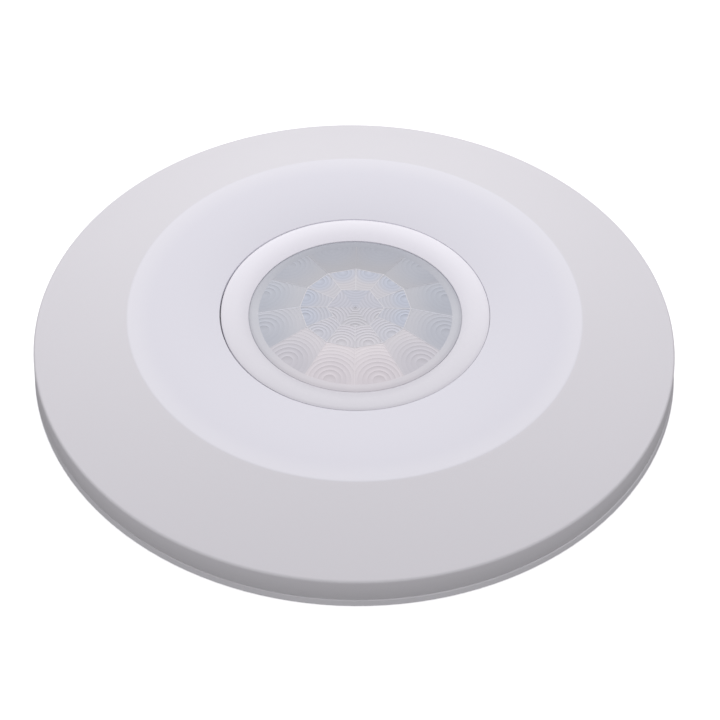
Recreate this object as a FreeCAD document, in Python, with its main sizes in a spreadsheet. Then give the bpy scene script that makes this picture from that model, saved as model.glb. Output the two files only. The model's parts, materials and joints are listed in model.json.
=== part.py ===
import FreeCAD, Part
import math
import os
import re
import Sketcher

# Round ceiling motion sensor, lying on its back plate with the lens up.
# Origin: centre of the back plate's rear face. +Z points out of the lens, +X and +Y lie in the rear face.
# The cable entry and the terminals are on the -Y side, the three setting knobs on the +Y side.

SIZES = {
    # back plate
    "plate_radius": 80.2, "plate_floor": 1.8, "plate_edge": 0.3,
    "ring_radius": 77.2, "ring_wall": 1.5, "ring_top": 5.6, "grip_rib": 0.25,
    "slot_offset": 64.0, "slot_reach": 2.2, "slot_radius": 2.3,
    "entry_offset": 60.0, "entry_radius": 8.0, "entry_recess": 10.0, "entry_depth": 0.7,
    "cable_radius": 4.5,
    "boss_offset": 56.0, "boss_radius": 3.6, "boss_top": 8.0, "pilot_radius": 1.25, "pilot_depth": 5.5,
    # pull-off cover
    "cover_radius": 80.0, "cover_wall": 2.2, "cover_skin": 2.0, "seat_gap": 0.15,
    "rim_top": 8.3, "crest_radius": 56.4, "plateau": 18.0, "opening_radius": 33.5,
    "rim_round": 0.9, "crest_round": 3.0, "opening_round": 0.3,
    "seat_shift_x": 0.13, "seat_shift_y": 0.1,
    "rib_inner": 60.0, "rib_depth": 1.2, "rib_width": 1.2,
    # sensor head: housing, bezel and lens
    "housing_radius": 52.0, "housing_wall": 1.4, "housing_top": 15.7, "housing_skin": 1.1,
    "housing_front": 27.0, "window_radius": 27.0, "collar_radius": 29.0, "collar_top": 16.5,
    "knob_hole": 3.7, "ear_radius": 4.2, "ear_height": 2.2, "ear_hole": 1.7,
    "bezel_radius": 33.2, "bezel_skirt": 1.6, "bezel_top": 1.4, "bezel_round": 0.4,
    "lens_radius": 26.5, "lens_flange": 28.8, "lens_edge": 17.1, "lens_skin": 0.6, "lens_rise": 2.8,
    "crown_radius": 13.8, "crown_drop": 0.12, "lens_band": 1.3, "band_rise": 0.15,
    "dish_width": 5.5, "lip_height": 0.55,
    # circuit board
    "board_radius": 49.5, "board_front": 41.5, "board_bottom": 2.8, "board_depth": 1.6,
    "post_radius": 2.0, "post_x": 40.0, "post_y": 17.0, "prop_x": 30.0, "prop_y": 36.0,
    # pyroelectric detector
    "holder_radius": 5.2, "holder_bore": 3.6, "holder_height": 1.2,
    "header_radius": 4.6, "header_depth": 0.5, "can_radius": 4.15, "can_height": 3.7, "can_wall": 0.3,
    "window_length": 4.6, "window_width": 3.4, "filter_depth": 0.4, "filter_lap": 0.4,
    "lead_circle": 2.54, "lead_radius": 0.22, "lead_hole": 0.4, "lead_tail": 0.5,
    # setting trimmers
    "trimmer_offset": 43.0, "trimmer_side": 8.0, "trimmer_height": 4.6, "trimmer_floor": 1.6,
    "knob_foot": 3.0, "knob_play": 0.05, "knob_head": 3.3, "knob_top": 15.6, "knob_neck": 10.0,
    "knob_slot_width": 0.9, "knob_slot_depth": 1.0,
    # relay
    "relay_x": -36.0, "relay_length": 20.0, "relay_width": 10.0, "relay_height": 9.9,
    "relay_floor": 1.6, "relay_wall": 0.6, "coil_radius": 2.9, "coil_start": -6.5, "coil_end": 2.5,
    "core_radius": 1.1, "yoke_depth": 0.8, "yoke_width": 5.2, "yoke_start": -8.0, "core_end": 2.9,
    "coil_rise": 4.9, "armature_gap": 0.4, "armature_depth": 0.8, "arm_reach": 4.6, "contact_radius": 0.6,
    "contact_gap": 0.4, "pivot_radius": 0.35, "pivot_tail": 0.4, "blade_depth": 0.4, "blade_width": 2.4,
    # terminals
    "way_pitch": 5.08, "block_front": 40.0, "block_depth": 10.5, "block_height": 9.8, "block_wall": 0.75,
    "cage_width": 3.8, "cage_height": 5.0, "cage_depth": 7.0, "cage_rise": 1.2, "cage_play": 0.1,
    "wire_radius": 1.4, "clamp_radius": 1.25, "clamp_head": 1.6, "clamp_top": 13.2, "thread_play": 0.05,
    # housing screws
    "screw_radius": 1.2, "screw_head": 2.8, "head_height": 1.9, "screw_length": 7.0, "drive_width": 0.8,
}

WAYS = 4
KNOB_ANGLES = {"time": 120, "lux": 90, "sens": 60}
SCREW_ANGLES = (90, 210, 330)
COVER_RIBS = 8
GRIP_RIBS = 6

Vector = FreeCAD.Vector
doc = FreeCAD.newDocument("motion_sensor")
sheet = doc.addObject("Spreadsheet::Sheet", "Sizes")
nodes = {}


# ---------------------------------------------------------------- sheet, expressions and sketches

def fill_sheet():
    """Write each driving dimension into the sheet, one alias per row."""
    for row, (alias, value) in enumerate(SIZES.items(), start=1):
        sheet.set(f"A{row}", alias)
        sheet.set(f"B{row}", str(value))
        sheet.setAlias(f"B{row}", alias)
    doc.recompute()


def bound(expression):
    """Turn a formula in plain alias words into one that reads the sheet."""
    return re.sub(r"[a-z_]{3,}", lambda word: "Sizes." + word[0] if word[0] in SIZES else word[0],
                  str(expression))


def number(expression):
    """Value of a formula in alias words."""
    return float(sheet.evalExpression(str(expression)))


def bind(target, path, expression):
    target.setExpression(path, bound(expression))


def node(label, target):
    """Register a finished sub-part under the name of its file."""
    target.Label = label
    nodes[label] = target
    return target


def new_body(label):
    return node(label, doc.addObject("PartDesign::Body", label))


def new_sketch(body, name, plane="XY_Plane", height=None):
    """Sketch on one of the body's origin planes, lifted to a height."""
    sketch = body.newObject("Sketcher::SketchObject", f"{body.Name}_{name}")
    support = [item for item in body.Origin.OriginFeatures if item.Role == plane][0]
    sketch.AttachmentSupport = [(support, "")]
    sketch.MapMode = "FlatFace"
    if height is not None:
        bind(sketch, "AttachmentOffset.Base.z", height)
    return sketch


def fix(sketch, geometry, point, x, y):
    """Hold one point of a sketch at a pair of formulas."""
    for kind, formula in (("DistanceX", x), ("DistanceY", y)):
        index = sketch.addConstraint(Sketcher.Constraint(kind, -1, 1, geometry, point, number(formula)))
        bind(sketch, f"Constraints[{index}]", formula)


def fix_radius(sketch, geometry, radius):
    index = sketch.addConstraint(Sketcher.Constraint("Radius", geometry, number(radius)))
    bind(sketch, f"Constraints[{index}]", radius)


def add_circle(sketch, x, y, radius):
    centre = Vector(number(x), number(y), 0)
    circle = sketch.addGeometry(Part.Circle(centre, Vector(0, 0, 1), number(radius)), False)
    fix(sketch, circle, 3, x, y)
    fix_radius(sketch, circle, radius)


def add_profile(sketch, points):
    """Closed outline of straight edges through points given as pairs of formulas."""
    corners = [Vector(number(x), number(y), 0) for x, y in points]
    count = len(points)
    for index in range(count):
        sketch.addGeometry(Part.LineSegment(corners[index], corners[(index + 1) % count]), False)
    for index, (x, y) in enumerate(points):
        sketch.addConstraint(Sketcher.Constraint("Coincident", index, 2, (index + 1) % count, 1))
        fix(sketch, index, 1, x, y)


def add_rectangle(sketch, low_x, low_y, high_x, high_y):
    add_profile(sketch, [(low_x, low_y), (high_x, low_y), (high_x, high_y), (low_x, high_y)])


def add_slot(sketch, x, y, reach, radius):
    """Slot along X: round ends centred at x - reach and x + reach."""
    left, right = f"({x}) - ({reach})", f"({x}) + ({reach})"
    size, level = number(radius), number(y)
    near, far = Vector(number(left), level, 0), Vector(number(right), level, 0)
    up = Vector(0, size, 0)
    axis = Vector(0, 0, 1)
    first = sketch.addGeometry(Part.ArcOfCircle(Part.Circle(near, axis, size), math.pi / 2, 1.5 * math.pi))
    second = sketch.addGeometry(Part.ArcOfCircle(Part.Circle(far, axis, size), -math.pi / 2, math.pi / 2))
    top = sketch.addGeometry(Part.LineSegment(near + up, far + up))
    bottom = sketch.addGeometry(Part.LineSegment(near - up, far - up))
    for arc, arc_end, line, line_end in ((first, 1, top, 1), (second, 2, top, 2),
                                         (first, 2, bottom, 1), (second, 1, bottom, 2)):
        sketch.addConstraint(Sketcher.Constraint("Tangent", arc, arc_end, line, line_end))
    fix(sketch, first, 3, left, y)
    sketch.addConstraint(Sketcher.Constraint("Equal", first, second))
    index = sketch.addConstraint(Sketcher.Constraint("DistanceX", first, 3, second, 3, (far - near).x))
    bind(sketch, f"Constraints[{index}]", f"2 * ({reach})")
    fix_radius(sketch, first, radius)


def add_segment(sketch, radius, front):
    """Disc with its -Y side cut off straight at y = -front."""
    size, level = number(radius), -number(front)
    half = math.sqrt(size ** 2 - level ** 2)
    left, right = Vector(-half, level, 0), Vector(half, level, 0)
    first, last = math.atan2(level, half), math.atan2(level, -half) + 2 * math.pi
    arc = sketch.addGeometry(Part.ArcOfCircle(Part.Circle(Vector(), Vector(0, 0, 1), size), first, last))
    chord = sketch.addGeometry(Part.LineSegment(left, right))
    sketch.addConstraint(Sketcher.Constraint("Coincident", arc, 1, chord, 2))
    sketch.addConstraint(Sketcher.Constraint("Coincident", arc, 2, chord, 1))
    sketch.addConstraint(Sketcher.Constraint("Coincident", arc, 3, -1, 1))
    sketch.addConstraint(Sketcher.Constraint("Horizontal", chord))
    fix_radius(sketch, arc, radius)
    index = sketch.addConstraint(Sketcher.Constraint("DistanceY", -1, 1, chord, 1, level))
    bind(sketch, f"Constraints[{index}]", f"-({front})")


# ---------------------------------------------------------------- features

def feature(body, kind, name, sketch, **sizes):
    """Sketch-based feature whose sizes are formulas; the change in volume proves that it worked."""
    before = body.Shape.Volume if body.Tip else 0.0
    item = body.newObject(f"PartDesign::{kind}", f"{body.Name}_{name}")
    item.Profile = sketch
    for path, value in sizes.items():
        if isinstance(value, bool):
            setattr(item, path, value)
        else:
            bind(item, path, value)
    doc.recompute()
    check_change(item, before, kind in ("Pocket", "Groove"))
    return item


def check_change(item, before, cutting):
    change = item.Shape.Volume - before
    if (cutting and change > -1e-3) or (not cutting and change < 1e-3):
        raise RuntimeError(f"{item.Name} changed the volume by {change:.4f}")


def revolve(body, name, points):
    sketch = new_sketch(body, name + "_outline", "XZ_Plane")
    add_profile(sketch, points)
    item = body.newObject("PartDesign::Revolution", f"{body.Name}_{name}")
    item.Profile = sketch
    item.ReferenceAxis = (sketch, ["V_Axis"])
    item.Angle = 360
    doc.recompute()
    return item


def polar(body, name, original, sketch, count):
    """Repeat a feature evenly round the Z axis."""
    before = body.Shape.Volume
    cutting = "Pocket" in original.TypeId
    item = body.newObject("PartDesign::PolarPattern", f"{body.Name}_{name}")
    item.Originals = [original]
    item.Axis = (sketch, ["N_Axis"])
    item.Angle = 360
    item.Occurrences = count
    body.Tip = item
    doc.recompute()
    check_change(item, before, cutting)
    return item


def linear_x(body, name, original, sketch, pitch, count):
    """Repeat a feature along the sketch's horizontal axis."""
    before = body.Shape.Volume
    item = body.newObject("PartDesign::LinearPattern", f"{body.Name}_{name}")
    item.Originals = [original]
    item.Direction = (sketch, ["H_Axis"])
    bind(item, "Length", f"({pitch}) * {count - 1}")
    item.Occurrences = count
    body.Tip = item
    doc.recompute()
    check_change(item, before, "Pocket" in original.TypeId)
    return item


def ring_edges(base, *rings):
    """Names of the full circles of a shape that lie at the given radius and height."""
    names = []
    for index, edge in enumerate(base.Shape.Edges, start=1):
        curve = edge.Curve
        if not isinstance(curve, Part.Circle):
            continue
        for radius, height in rings:
            if abs(curve.Radius - number(radius)) < 1e-3 and abs(curve.Center.z - number(height)) < 1e-3:
                names.append(f"Edge{index}")
    if len(names) < len(rings):
        raise RuntimeError(f"{base.Name}: found {len(names)} of {len(rings)} circular edges")
    return names


def fillet(body, name, radius, *rings):
    base = body.Tip
    item = body.newObject("PartDesign::Fillet", f"{body.Name}_{name}")
    item.Base = (base, ring_edges(base, *rings))
    bind(item, "Radius", radius)
    doc.recompute()
    return item


def place(item, x="0", y="0", z="0"):
    for axis, formula in zip("xyz", (x, y, z)):
        bind(item, f"Placement.Base.{axis}", formula)
    return item


def box(name, low, size):
    """Part::Box from its low corner and its size, each a triple of formulas."""
    item = doc.addObject("Part::Box", name)
    for path, formula in zip(("Length", "Width", "Height"), size):
        bind(item, path, formula)
    return place(item, *low)


def cylinder(name, foot, radius, length, along="z"):
    """Part::Cylinder from the middle of its foot, along Z or Y."""
    item = doc.addObject("Part::Cylinder", name)
    bind(item, "Radius", radius)
    bind(item, "Height", length)
    if along == "y":
        item.Placement = FreeCAD.Placement(Vector(), FreeCAD.Rotation(Vector(1, 0, 0), -90))
    if along == "x":
        item.Placement = FreeCAD.Placement(Vector(), FreeCAD.Rotation(Vector(0, 1, 0), 90))
    return place(item, *foot)


def fuse(name, *items):
    item = doc.addObject("Part::MultiFuse", name)
    item.Shapes = list(items)
    return item


def cut(name, base, *tools):
    item = doc.addObject("Part::Cut", name)
    item.Base = base
    item.Tool = tools[0] if len(tools) == 1 else fuse(name + "_tools", *tools)
    return item


def group(name, items):
    item = doc.addObject("Part::Compound", name)
    item.Links = list(items)
    return item


def rounded(name, base, radius, upright=True):
    """Fillet the upright edges of a box-like shape, or all of its edges."""
    doc.recompute()
    item = doc.addObject("Part::Fillet", name)
    item.Base = base
    chosen = []
    for index, edge in enumerate(base.Shape.Edges, start=1):
        direction = edge.tangentAt(edge.FirstParameter)
        if not upright or abs(direction.z) > 0.999:
            chosen.append((index, radius, radius))
    item.Edges = chosen
    return item


# ---------------------------------------------------------------- shells

BOARD_TOP = "(board_bottom + board_depth)"
COVER_FOOT = "(plate_floor + seat_gap)"
CONE_SLOPE = "((plateau - rim_top) / (cover_radius - crest_radius))"
SKIN_DROP = f"(cover_skin * sqrt(1 + {CONE_SLOPE}^2))"
RING_INNER = "(ring_radius - ring_wall)"


def cone_underside(radius):
    """Height of the cover's inner face at a radius outside the crest."""
    return f"(plateau - {SKIN_DROP} - ({radius} - crest_radius) * {CONE_SLOPE})"


def make_base_plate():
    """Disc with a locating ring, screw bosses, board props, fixing slots and the cable entry."""
    body = new_body("base_plate")
    revolve(body, "disc", [
        ("0", "0"), ("plate_radius", "0"), ("plate_radius", "plate_floor - plate_edge"),
        ("plate_radius - plate_edge", "plate_floor"), ("ring_radius", "plate_floor"),
        ("ring_radius", "ring_top"), (RING_INNER, "ring_top"), (RING_INNER, "plate_floor"),
        ("0", "plate_floor")])

    ribs = new_sketch(body, "grip_rib_outline", height="plate_floor")
    add_rectangle(ribs, "ring_radius - 0.5", "-2", "ring_radius + grip_rib", "2")
    rib = feature(body, "Pad", "grip_rib", ribs, Length="ring_top - plate_floor - 0.6")
    polar(body, "grip_ribs", rib, ribs, GRIP_RIBS)

    bosses = new_sketch(body, "boss_outline", height="plate_floor")
    add_circle(bosses, "0", "boss_offset", "boss_radius")
    boss = feature(body, "Pad", "boss", bosses, Length="boss_top - plate_floor")
    polar(body, "bosses", boss, bosses, len(SCREW_ANGLES))

    pilots = new_sketch(body, "pilot_outline", height="boss_top")
    add_circle(pilots, "0", "boss_offset", "pilot_radius")
    pilot = feature(body, "Pocket", "pilot", pilots, Length="pilot_depth")
    polar(body, "pilots", pilot, pilots, len(SCREW_ANGLES))

    props = new_sketch(body, "prop_outline", height="plate_floor")
    for side in ("", "-"):
        for y in ("post_y", "-post_y"):
            add_circle(props, f"{side}post_x", y, "post_radius + 0.5")
        add_circle(props, f"{side}prop_x", "-prop_y", "post_radius")
    feature(body, "Pad", "props", props, Length="board_bottom - plate_floor")

    slots = new_sketch(body, "slot_outline", height="plate_floor")
    add_slot(slots, "slot_offset", "0", "slot_reach", "slot_radius")
    slot = feature(body, "Pocket", "slot", slots, Length="plate_floor")
    polar(body, "slots", slot, slots, 2)

    entry = new_sketch(body, "entry_outline", height="plate_floor")
    add_circle(entry, "0", "-entry_offset", "entry_radius")
    feature(body, "Pocket", "entry", entry, Length="plate_floor")
    recess = new_sketch(body, "recess_outline")
    add_circle(recess, "0", "-entry_offset", "entry_recess")
    feature(body, "Pocket", "recess", recess, Length="entry_depth", Reversed=True)


def make_cable_grommet():
    """Rubber ring gripped in the cable entry, with a tapering mouth for the cable."""
    body = new_body("cable_grommet")
    revolve(body, "ring", [
        ("cable_radius", "0.1"), ("entry_recess - 0.3", "0.1"), ("entry_recess - 0.3", "entry_depth - 0.05"),
        ("entry_radius - 0.1", "entry_depth - 0.05"), ("entry_radius - 0.1", "plate_floor + 0.05"),
        ("entry_recess - 0.2", "plate_floor + 0.05"), ("entry_recess - 0.2", "plate_floor + 1.1"),
        ("cable_radius + 1.1", "plate_floor + 1.8"), ("cable_radius", "plate_floor + 1.8")])
    place(body, "0", "-entry_offset")


def make_front_cover():
    """Rim, conical ring and plateau in one shell with a round opening; it sits a hair off centre."""
    body = new_body("front_cover")
    revolve(body, "shell", [
        ("opening_radius", "plateau"), ("crest_radius", "plateau"), ("cover_radius", "rim_top"),
        ("cover_radius", COVER_FOOT), ("cover_radius - cover_wall", COVER_FOOT),
        ("cover_radius - cover_wall", cone_underside("(cover_radius - cover_wall)")),
        (f"crest_radius - ({SKIN_DROP} - cover_skin) / {CONE_SLOPE}", "plateau - cover_skin"),
        ("opening_radius", "plateau - cover_skin")])
    fillet(body, "rim_edge", "rim_round", ("cover_radius", "rim_top"))
    fillet(body, "crest_edge", "crest_round", ("crest_radius", "plateau"))
    fillet(body, "opening_edge", "opening_round", ("opening_radius", "plateau"))

    ribs = new_sketch(body, "rib_outline", "XZ_Plane")
    outer = "(cover_radius - cover_wall + 0.4)"
    add_profile(ribs, [
        ("rib_inner", f"{cone_underside('rib_inner')} + 0.4"), (outer, f"{cone_underside(outer)} + 0.4"),
        (outer, f"{cone_underside(outer)} - rib_depth"),
        ("rib_inner", f"{cone_underside('rib_inner')} - rib_depth")])
    rib = feature(body, "Pad", "rib", ribs, Length="rib_width", Midplane=True)
    turn = new_sketch(body, "rib_axis")
    polar(body, "ribs", rib, turn, COVER_RIBS)
    place(body, "-seat_shift_x", "seat_shift_y")


def make_sensor_housing():
    """Upturned tub with a flat front, a window under the lens, knob holes and three screw ears."""
    body = new_body("sensor_housing")
    outer = new_sketch(body, "outer_outline", height="plate_floor")
    add_segment(outer, "housing_radius", "housing_front")
    feature(body, "Pad", "block", outer, Length="housing_top - plate_floor")

    inner = new_sketch(body, "inner_outline", height="plate_floor")
    add_segment(inner, "housing_radius - housing_wall", "housing_front - housing_wall")
    feature(body, "Pocket", "hollow", inner, Length="housing_top - housing_skin - plate_floor", Reversed=True)

    gate = new_sketch(body, "gate_outline", height="plate_floor")
    half = "(sqrt(board_radius^2 - housing_front^2) + 0.9)"
    add_rectangle(gate, f"-{half}", "-housing_front - 1", half, "-housing_front + housing_wall + 1")
    feature(body, "Pocket", "board_gate", gate, Length=f"{BOARD_TOP} + 0.1 - plate_floor", Reversed=True)

    posts = new_sketch(body, "post_outline", height=BOARD_TOP)
    for side in ("", "-"):
        for y in ("post_y", "-post_y"):
            add_circle(posts, f"{side}post_x", y, "post_radius")
    feature(body, "Pad", "posts", posts, Length=f"housing_top - housing_skin - {BOARD_TOP} + 0.4")

    shelf = new_sketch(body, "shelf_outline", height="housing_top - housing_skin")
    add_circle(shelf, "0", "0", "bezel_radius + 0.4")
    feature(body, "Pad", "shelf", shelf, Length="housing_skin")
    collar = new_sketch(body, "collar_outline", height="housing_top - 0.2")
    add_circle(collar, "0", "0", "collar_radius")
    feature(body, "Pad", "collar", collar, Length="collar_top - housing_top + 0.2")
    window = new_sketch(body, "window_outline", height="collar_top")
    add_circle(window, "0", "0", "window_radius")
    feature(body, "Pocket", "window", window, Length="collar_top - housing_top + housing_skin + 0.5")

    knobs = new_sketch(body, "knob_outline", height="housing_top")
    for angle in KNOB_ANGLES.values():
        add_circle(knobs, f"trimmer_offset * cos({angle} deg)", f"trimmer_offset * sin({angle} deg)", "knob_hole")
    feature(body, "Pocket", "knob_holes", knobs, Length="housing_skin + 0.5")

    webs = new_sketch(body, "web_outline", height="boss_top")
    add_rectangle(webs, "-ear_radius", "housing_radius - housing_wall", "ear_radius", "boss_offset")
    web = feature(body, "Pad", "web", webs, Length="ear_height")
    polar(body, "webs", web, webs, len(SCREW_ANGLES))
    ears = new_sketch(body, "ear_outline", height="boss_top")
    add_circle(ears, "0", "boss_offset", "ear_radius")
    ear = feature(body, "Pad", "ear", ears, Length="ear_height")
    polar(body, "ears", ear, ears, len(SCREW_ANGLES))
    holes = new_sketch(body, "ear_hole_outline", height="boss_top + ear_height")
    add_circle(holes, "0", "boss_offset", "ear_hole")
    hole = feature(body, "Pocket", "ear_hole", holes, Length="ear_height")
    polar(body, "ear_holes", hole, holes, len(SCREW_ANGLES))


def make_lens_bezel():
    """Flat ring round the lens, flush with the plateau, dished towards the lens, with a lip over its flange."""
    body = new_body("lens_bezel")
    under = "plateau - bezel_top"
    revolve(body, "ring", [
        ("bezel_radius", "housing_top"), ("bezel_radius", "plateau"), ("lens_radius + dish_width", "plateau"),
        ("lens_radius", "lens_edge + lip_height"), ("lens_radius", "lens_edge"),
        ("lens_flange + 0.2", "lens_edge"), ("lens_flange + 0.2", under),
        ("bezel_radius - bezel_skirt", under), ("bezel_radius - bezel_skirt", "housing_top")])
    fillet(body, "outer_edge", "bezel_round", ("bezel_radius", "plateau"))


def make_fresnel_lens():
    """Thin shell: flat flange, narrow edge band, sloping facet ring and a nearly flat crown."""
    body = new_body("fresnel_lens")
    top = "(lens_edge + lens_rise)"
    band = "(lens_radius - lens_band)"
    revolve(body, "shell", [
        ("0", top), ("crown_radius", f"{top} - crown_drop"), (band, "lens_edge + band_rise"),
        ("lens_radius", "lens_edge"), ("lens_flange", "lens_edge"), ("lens_flange", "lens_edge - lens_skin"),
        ("lens_radius - 0.3", "lens_edge - lens_skin"), (f"{band} - 0.1", "lens_edge + band_rise - lens_skin"),
        ("crown_radius - 0.1", f"{top} - crown_drop - lens_skin"), ("0", f"{top} - lens_skin")])


# ---------------------------------------------------------------- circuit board and detector

def make_main_board():
    """Flat-fronted round board; three lead holes in the middle."""
    body = new_body("main_board")
    outline = new_sketch(body, "outline", height="board_bottom")
    add_segment(outline, "board_radius", "board_front")
    feature(body, "Pad", "sheet", outline, Length="board_depth")
    holes = new_sketch(body, "lead_outline", height=BOARD_TOP)
    add_circle(holes, "0", "lead_circle", "lead_hole")
    hole = feature(body, "Pocket", "lead_hole", holes, Length="board_depth")
    polar(body, "lead_holes", hole, holes, 3)


def make_detector():
    """Pyroelectric detector: holder ring, header, can, infrared filter window and three leads."""
    holder_top = f"({BOARD_TOP} + holder_height)"
    header_top = f"({holder_top} + header_depth)"
    can_top = f"({header_top} + can_height)"
    ring = cylinder("holder_blank", ("0", "0", BOARD_TOP), "holder_radius", "holder_height")
    bore = cylinder("holder_bore", ("0", "0", f"{BOARD_TOP} - 1"), "holder_bore", "holder_height + 2")
    node("pir_holder", cut("pir_holder", ring, bore))
    node("pir_header", cylinder("pir_header", ("0", "0", holder_top), "header_radius", "header_depth"))

    shell = cylinder("can_blank", ("0", "0", header_top), "can_radius", "can_height")
    inside = cylinder("can_inside", ("0", "0", header_top), "can_radius - can_wall", "can_height - can_wall")
    opening = box("can_opening", ("-window_length / 2", "-window_width / 2", f"{can_top} - 1"),
                  ("window_length", "window_width", "2"))
    node("pir_can", cut("pir_can", shell, inside, opening))
    node("pir_window", box("pir_window", (
        "-window_length / 2 - filter_lap", "-window_width / 2 - filter_lap",
        f"{can_top} - can_wall - filter_depth"),
        ("window_length + 2 * filter_lap", "window_width + 2 * filter_lap", "filter_depth")))

    leads = []
    for index in range(3):
        angle = 90 + 120 * index
        foot = (f"lead_circle * cos({angle} deg)", f"lead_circle * sin({angle} deg)", "board_bottom - lead_tail")
        leads.append(cylinder(f"lead_{index + 1}", foot, "lead_radius",
                              f"{holder_top} - board_bottom + lead_tail"))
    node("pir_leads", group("pir_leads", leads))


def make_trimmer(name, angle):
    """Potentiometer body on the board and the slotted knob that turns in it."""
    x, y = f"trimmer_offset * cos({angle} deg)", f"trimmer_offset * sin({angle} deg)"
    body = new_body(f"{name}_trimmer")
    block = new_sketch(body, "block_outline", height=BOARD_TOP)
    half = "trimmer_side / 2"
    add_rectangle(block, f"-{half}", f"-{half}", half, half)
    feature(body, "Pad", "block", block, Length="trimmer_height")
    well = new_sketch(body, "well_outline", height=f"{BOARD_TOP} + trimmer_height")
    add_circle(well, "0", "0", "knob_foot + knob_play")
    feature(body, "Pocket", "well", well, Length="trimmer_height - trimmer_floor")
    place(body, x, y)

    knob = new_body(f"{name}_knob")
    foot_level = f"({BOARD_TOP} + trimmer_floor + 0.05)"
    revolve(knob, "turning", [
        ("0", foot_level), ("knob_foot", foot_level), ("knob_foot", "knob_neck"), ("knob_head", "knob_neck + 0.3"),
        ("knob_head", "knob_top - 0.3"), ("knob_head - 0.3", "knob_top"), ("0", "knob_top")])
    slot = new_sketch(knob, "slot_outline", height="knob_top")
    width, length = "knob_slot_width / 2", "(knob_head - 0.7)"
    add_profile(slot, [
        (f"-{width}", f"-{length}"), (width, f"-{length}"), (width, f"{length} - 1.4"),
        (f"{width} + 0.7", f"{length} - 1.4"), ("0", length), (f"-{width} - 0.7", f"{length} - 1.4"),
        (f"-{width}", f"{length} - 1.4")])
    feature(knob, "Pocket", "arrow_slot", slot, Length="knob_slot_depth")
    place(knob, x, y)


# ---------------------------------------------------------------- relay

def make_relay():
    """Small power relay, long side along Y: base, case, coil, yoke with core, armature, fixed contact."""
    floor_top = f"({BOARD_TOP} + relay_floor)"
    top = f"({BOARD_TOP} + relay_height)"
    low_x, low_y = "relay_x - relay_width / 2", "-relay_length / 2"
    base = box("relay_base_blank", (low_x, low_y, BOARD_TOP), ("relay_width", "relay_length", "relay_floor"))
    node("relay_base", rounded("relay_base", base, 0.4))

    shell = box("relay_shell", (low_x, low_y, floor_top),
                ("relay_width", "relay_length", "relay_height - relay_floor"))
    inside = box("relay_inside", (f"{low_x} + relay_wall", f"{low_y} + relay_wall", floor_top),
                 ("relay_width - 2 * relay_wall", "relay_length - 2 * relay_wall",
                  "relay_height - relay_floor - relay_wall"))
    node("relay_case", cut("relay_case", rounded("relay_shell_round", shell, 0.4), inside))

    axis = f"({BOARD_TOP} + coil_rise)"
    coil = cylinder("coil_blank", ("relay_x", "coil_start", axis), "coil_radius", "coil_end - coil_start", "y")
    bore = cylinder("coil_bore", ("relay_x", "coil_start - 1", axis), "core_radius + 0.1",
                    "coil_end - coil_start + 2", "y")
    node("relay_coil", cut("relay_coil", coil, bore))

    yoke_low = f"({axis} + coil_radius + 0.2)"
    yoke_x = "relay_x - yoke_width / 2"
    core = cylinder("core", ("relay_x", "yoke_start", axis), "core_radius", "core_end - yoke_start", "y")
    heel = box("yoke_heel", (yoke_x, "yoke_start", f"{floor_top} + 0.4"),
               ("yoke_width", "yoke_depth", f"{yoke_low} + yoke_depth - {floor_top} - 0.4"))
    back = box("yoke_back", (yoke_x, "yoke_start", yoke_low),
               ("yoke_width", "core_end - yoke_start", "yoke_depth"))
    node("relay_yoke", fuse("relay_yoke", core, heel, back))

    plate_y = "(core_end + armature_gap)"
    arm_low = f"({yoke_low})"
    plate = box("armature_plate", (yoke_x, plate_y, f"{floor_top} + 0.6"),
                ("yoke_width", "armature_depth", f"{arm_low} + armature_depth - {floor_top} - 0.6"))
    arm = box("armature_arm", ("relay_x - blade_width / 2", plate_y, f"{arm_low} + armature_depth / 2"),
              ("blade_width", "arm_reach + armature_depth", "armature_depth / 2"))
    contact_y = f"{plate_y} + arm_reach - 0.4"
    button = cylinder("moving_contact", ("relay_x", contact_y, f"{arm_low} + armature_depth / 2 - 0.3"),
                      "contact_radius", "0.4")
    pivot = cylinder("armature_pivot", ("relay_x - yoke_width / 2 - pivot_tail", f"{plate_y} + armature_depth / 2",
                                        f"{arm_low} + armature_depth / 2"),
                     "pivot_radius", "yoke_width + 2 * pivot_tail", "x")
    node("relay_armature", fuse("relay_armature", plate, arm, button, pivot))

    blade_top = f"({arm_low} + armature_depth / 2 - 0.3 - contact_gap)"
    blade = box("contact_blade", ("relay_x - blade_width / 2", f"{contact_y} + contact_radius", floor_top),
                ("blade_width", "blade_depth", f"{blade_top} - {floor_top}"))
    shelf = box("contact_shelf", ("relay_x - blade_width / 2", f"{contact_y} - contact_radius",
                                  f"{blade_top} - blade_depth"),
                ("blade_width", "2 * contact_radius + blade_depth", "blade_depth"))
    node("relay_contacts", fuse("relay_contacts", blade, shelf))


# ---------------------------------------------------------------- terminals and screws

def way_x(way):
    """Middle of one terminal way."""
    return f"({way - (WAYS - 1) / 2} * way_pitch)"


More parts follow.
